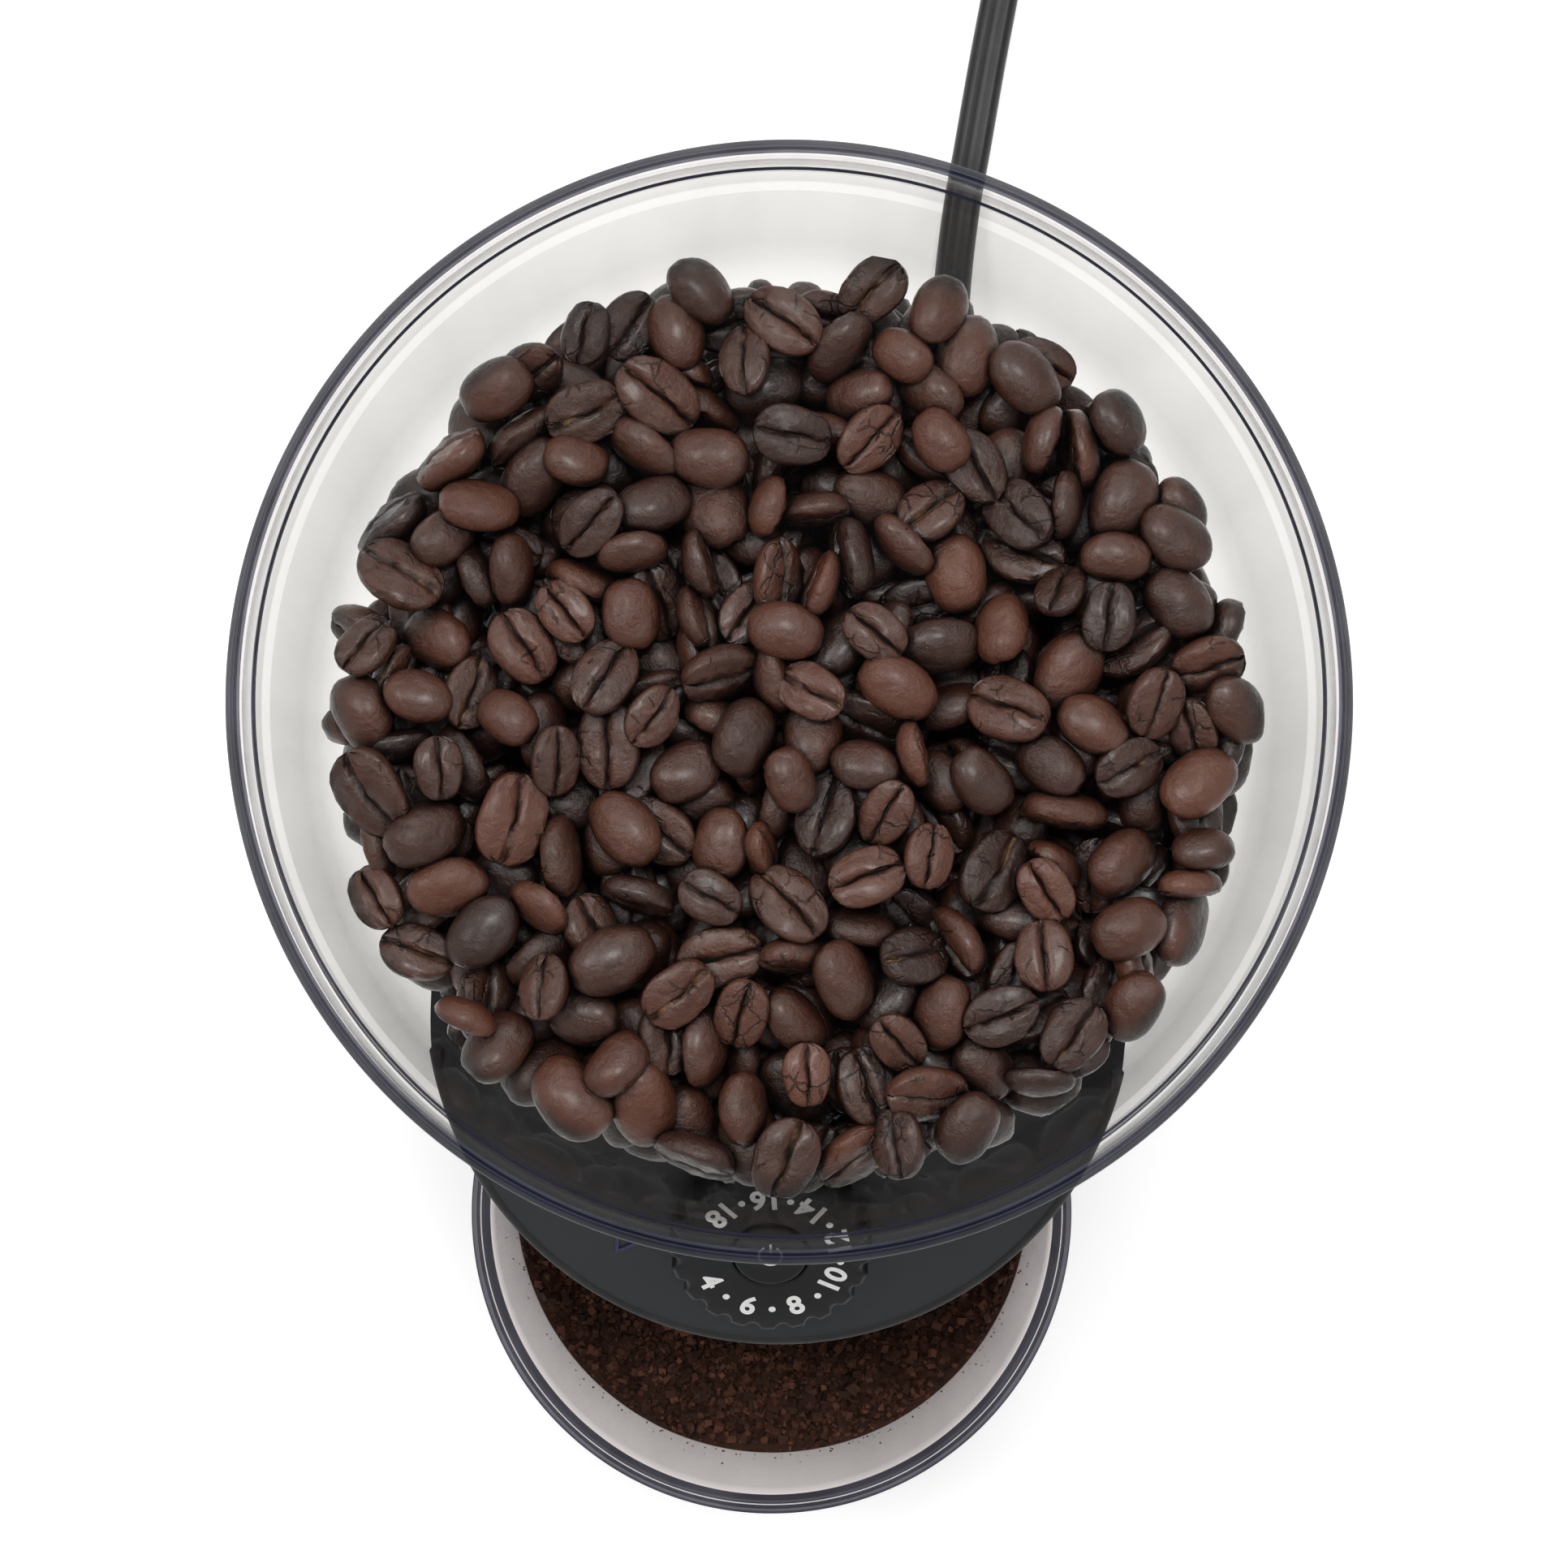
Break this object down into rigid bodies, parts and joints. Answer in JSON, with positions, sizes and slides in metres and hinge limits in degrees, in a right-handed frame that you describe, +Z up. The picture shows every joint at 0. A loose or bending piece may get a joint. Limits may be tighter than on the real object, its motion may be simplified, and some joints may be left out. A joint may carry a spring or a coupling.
{
  "type": "burr coffee grinder",
  "caption": "Electric burr coffee grinder: clear bean hopper with lid on a charcoal motor housing, scalloped cup dial, clear grounds cup in front, flat mains cord.",
  "frame": {"origin": "bottom centre of the grinder's box without its cord, on the table under the rubber feet", "axes": "+Z up, -Y the front where the dial and the cup are, +X to the right seen from the front"},
  "size_m": [0.1513, 0.3923, 0.27],
  "materials": {
    "housing_plastic": "charcoal moulded plastic, fine satin texture",
    "dark_plastic": "near-black moulded plastic, satin",
    "dial_plastic": "black moulded plastic, satin",
    "clear_plastic": "clear, slightly smoky, glossy",
    "smoky_plastic": "clear with a violet-grey tint, glossy",
    "roast_coffee": "dark roast, slightly oily",
    "ground_coffee": "coarse ground, matte",
    "natural_plastic": "uncoloured moulding, satin",
    "rubber": "black rubber, matte",
    "cord_rubber": "black flexible PVC, semi-matt",
    "plug_plastic": "black moulded plug, bright blades",
    "steel": "bright turned steel",
    "bearing_steel": "ground and polished",
    "burr_steel": "hardened steel, ground faces",
    "lamination_steel": "stacked laminations, dull",
    "cast_alloy": "die-cast, matte",
    "copper": "enamelled copper winding",
    "brass": "stamped brass",
    "felt": "red-brown felt",
    "circuit_board": "green board with parts",
    "navy_print": "navy printed outline"
  },
  "bodies": {
    "housing": {"base_plate": "dark_plastic", "rubber_feet": "rubber", "front_housing": "housing_plastic", "rear_cover": "housing_plastic", "hopper_collar": "dark_plastic", "case_screws": "steel", "base_screws": "steel", "lower_motor_bracket": "cast_alloy", "upper_motor_bracket": "cast_alloy", "motor_pillars": "cast_alloy", "lower_bearing": "bearing_steel", "upper_bearing": "bearing_steel", "stator_core": "lamination_steel", "field_coils": "copper", "brush_holders": "brass", "rubber_mounts": "rubber", "grinding_chamber": "natural_plastic", "shaft_seal": "felt", "grounds_chute": "dark_plastic", "control_board": "circuit_board", "timer_unit": "natural_plastic", "cup_switch": "dark_plastic", "dial_pointer": "navy_print", "strain_relief": "cord_rubber", "cord_lead": "cord_rubber", "cord_coil": "cord_rubber", "cord_tail": "cord_rubber", "plug": "plug_plastic"},
    "rotor": {"motor_shaft": "steel", "rotor_core": "lamination_steel", "rotor_windings": "copper", "commutator": "copper", "cooling_fan": "dark_plastic", "burr_carrier": "natural_plastic", "lower_burr": "burr_steel", "burr_nut": "brass"},
    "hopper": {"hopper": "clear_plastic", "coffee_beans": "roast_coffee"},
    "burr_adjuster": {"burr_holder": "dark_plastic", "upper_burr": "burr_steel"},
    "lid": {"hopper_lid": "clear_plastic"},
    "dial": {"cup_dial": "dial_plastic"},
    "button": {"start_button": "dial_plastic"},
    "cup": {"grounds_cup": "smoky_plastic", "ground_coffee": "ground_coffee"},
    "plunger": {"switch_plunger": "natural_plastic"}
  },
  "joints": [
    {"name": "motor_spin", "type": "hinge", "parent": "housing", "child": "rotor", "pos_m": [0, 0.0295, 0.06], "axis": [0, 0, 1], "continuous": true},
    {"name": "hopper_turn", "type": "hinge", "parent": "housing", "child": "hopper", "pos_m": [0, 0.0295, 0.17], "axis": [0, 0, 1], "range_deg": [-60, 60]},
    {"name": "burr_adjust", "type": "slide", "parent": "hopper", "child": "burr_adjuster", "axis": [0, 0, 1], "range_m": [-0.0005, 0.0005]},
    {"name": "lid_lift", "type": "slide", "parent": "hopper", "child": "lid", "axis": [0, 0, 1], "range_m": [0, 0.08]},
    {"name": "dial_turn", "type": "hinge", "parent": "housing", "child": "dial", "pos_m": [0, -0.046, 0.14536], "axis": [0, 0.5592, -0.829], "range_deg": [0, 322]},
    {"name": "button_press", "type": "slide", "parent": "housing", "child": "button", "axis": [0, 0.5592, -0.829], "range_m": [0, 0.0015], "stiffness_N_per_m": 600},
    {"name": "cup_pull", "type": "slide", "parent": "housing", "child": "cup", "axis": [0, -1, 0], "range_m": [0, 0.12]},
    {"name": "cup_switch_press", "type": "slide", "parent": "housing", "child": "plunger", "axis": [0, 1, 0], "range_m": [0, 0.001], "stiffness_N_per_m": 400}
  ],
  "couplings": [
    {"joint": "burr_adjust", "follows": "hopper_turn", "m_per_rad": 0.00047746}
  ]
}
